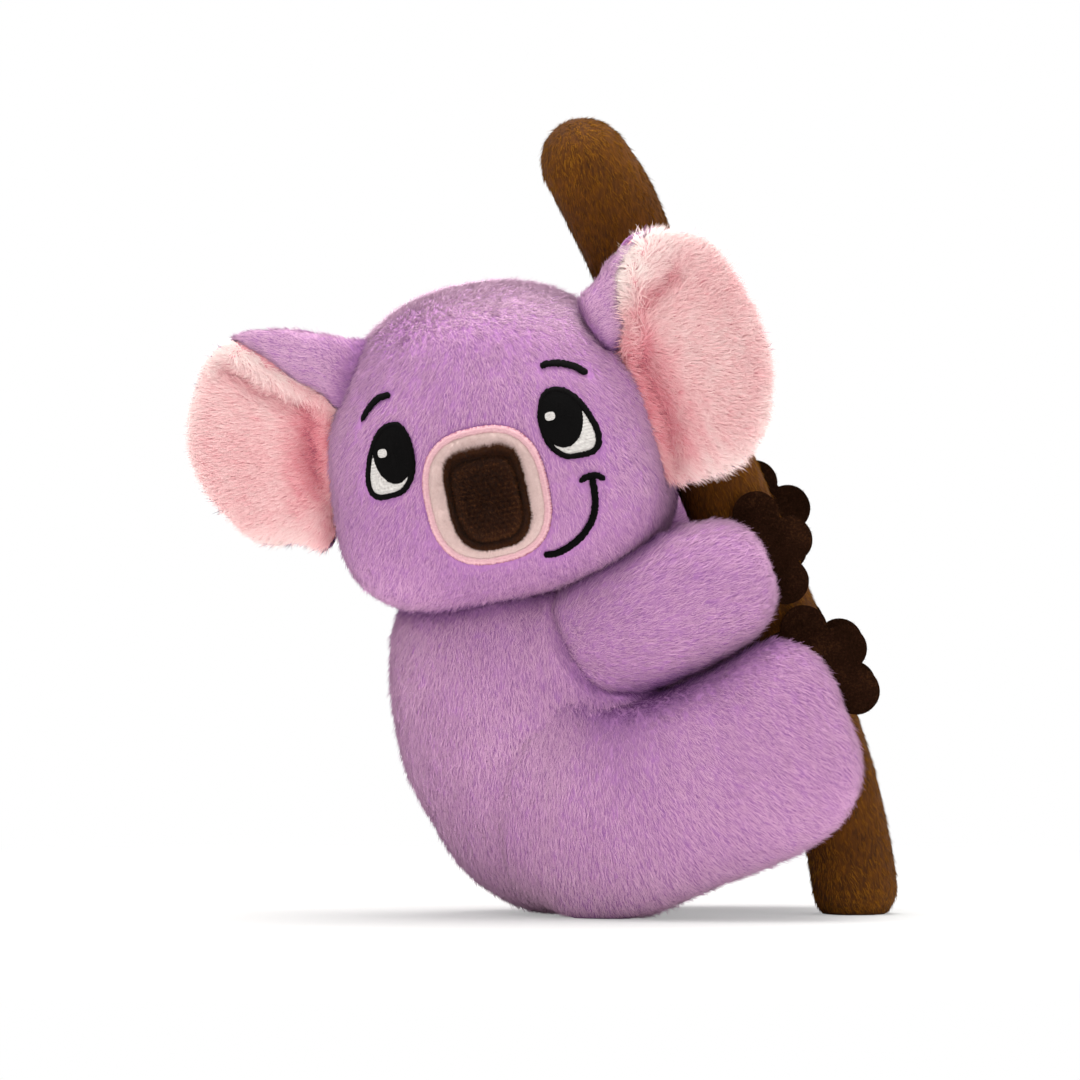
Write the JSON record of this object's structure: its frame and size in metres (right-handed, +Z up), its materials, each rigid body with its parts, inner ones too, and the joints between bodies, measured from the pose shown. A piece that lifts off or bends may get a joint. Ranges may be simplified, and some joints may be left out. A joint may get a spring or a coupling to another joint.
{
  "type": "plush koala",
  "caption": "Sitting plush koala with large ears and an embroidered face, hugging a stuffed branch with felt paws; head, ears, arms and legs flex and the branch pulls out",
  "frame": {"origin": "middle of the base of the bounding box, on the surface that the toy sits on", "axes": "+Z up, face towards -Y, branch at +X"},
  "size_m": [0.2137, 0.1129, 0.2383],
  "materials": {
    "lilac_plush": "short lilac plush pile, brushed downwards",
    "pink_long_pile": "long fluffy pink pile",
    "brown_plush": "short brown plush pile",
    "brown_felt": "dark brown felt",
    "cream_short_pile": "pale pink short pile",
    "pink_satin_stitch": "pink satin stitch",
    "dark_brown_plush": "dark brown ribbed plush",
    "black_thread": "black embroidery thread",
    "white_thread": "white embroidery thread",
    "filling": "white polyester fibre filling"
  },
  "bodies": {
    "torso": {"torso_skin": "lilac_plush", "torso_filling": "filling"},
    "head": {"head_skin": "lilac_plush", "head_filling": "filling", "muzzle_patch": "cream_short_pile", "muzzle_border": "pink_satin_stitch", "nose": "dark_brown_plush", "eye_rim_right": "black_thread", "eye_white_right": "white_thread", "pupil_right": "black_thread", "eye_highlight_right": "white_thread", "brow_right": "black_thread", "eye_rim_left": "black_thread", "eye_white_left": "white_thread", "pupil_left": "black_thread", "eye_highlight_left": "white_thread", "brow_left": "black_thread", "smile": "black_thread"},
    "ear_right": {"ear_right_back": "lilac_plush", "ear_right_lining": "pink_long_pile"},
    "ear_left": {"ear_left_back": "lilac_plush", "ear_left_lining": "pink_long_pile"},
    "arm_right": {"arm_right_skin": "lilac_plush", "arm_right_filling": "filling", "hand_right_felt": "brown_felt"},
    "arm_left": {"arm_left_skin": "lilac_plush", "arm_left_filling": "filling", "hand_left_felt": "brown_felt"},
    "leg_right": {"leg_right_skin": "lilac_plush", "leg_right_filling": "filling", "foot_right_felt": "brown_felt"},
    "leg_left": {"leg_left_skin": "lilac_plush", "leg_left_filling": "filling", "foot_left_felt": "brown_felt"},
    "branch": {"branch_skin": "brown_plush", "branch_filling": "filling"}
  },
  "joints": [
    {"name": "head_turn", "type": "hinge", "parent": "torso", "child": "head", "pos_m": [-0.01363, -0.00438, 0.1405], "axis": [0.2079, 0, -0.9781], "range_deg": [0, 15], "stiffness_Nm_per_rad": 0.3},
    {"name": "ear_right_flop", "type": "hinge", "parent": "head", "child": "ear_right", "pos_m": [-0.06088, -0.00496, 0.14211], "axis": [-0.0014, -0.0246, 0.9997], "range_deg": [-20, 20], "stiffness_Nm_per_rad": 0.03},
    {"name": "ear_left_flop", "type": "hinge", "parent": "head", "child": "ear_left", "pos_m": [0.02644, -0.01573, 0.16589], "axis": [0.1396, 0.0083, -0.9902], "range_deg": [0, 20], "stiffness_Nm_per_rad": 0.03},
    {"name": "arm_right_open", "type": "hinge", "parent": "torso", "child": "arm_right", "pos_m": [0.01497, -0.03138, 0.082], "axis": [0.4226, 0, -0.9063], "range_deg": [0, 25], "stiffness_Nm_per_rad": 0.1},
    {"name": "arm_left_open", "type": "hinge", "parent": "torso", "child": "arm_left", "pos_m": [0.01497, 0.03862, 0.091], "axis": [-0.4226, 0, 0.9063], "range_deg": [0, 25], "stiffness_Nm_per_rad": 0.1},
    {"name": "leg_right_open", "type": "hinge", "parent": "torso", "child": "leg_right", "pos_m": [0.01139, -0.03138, 0.0269], "axis": [0.342, 0, -0.9397], "range_deg": [0, 12], "stiffness_Nm_per_rad": 0.3},
    {"name": "leg_left_open", "type": "hinge", "parent": "torso", "child": "leg_left", "pos_m": [0.01139, 0.03862, 0.0269], "axis": [-0.342, 0, 0.9397], "range_deg": [0, 12], "stiffness_Nm_per_rad": 0.3},
    {"name": "branch_pull", "type": "slide", "parent": "torso", "child": "branch", "axis": [0.9272, 0, 0.3746], "range_m": [0, 0.06]}
  ]
}
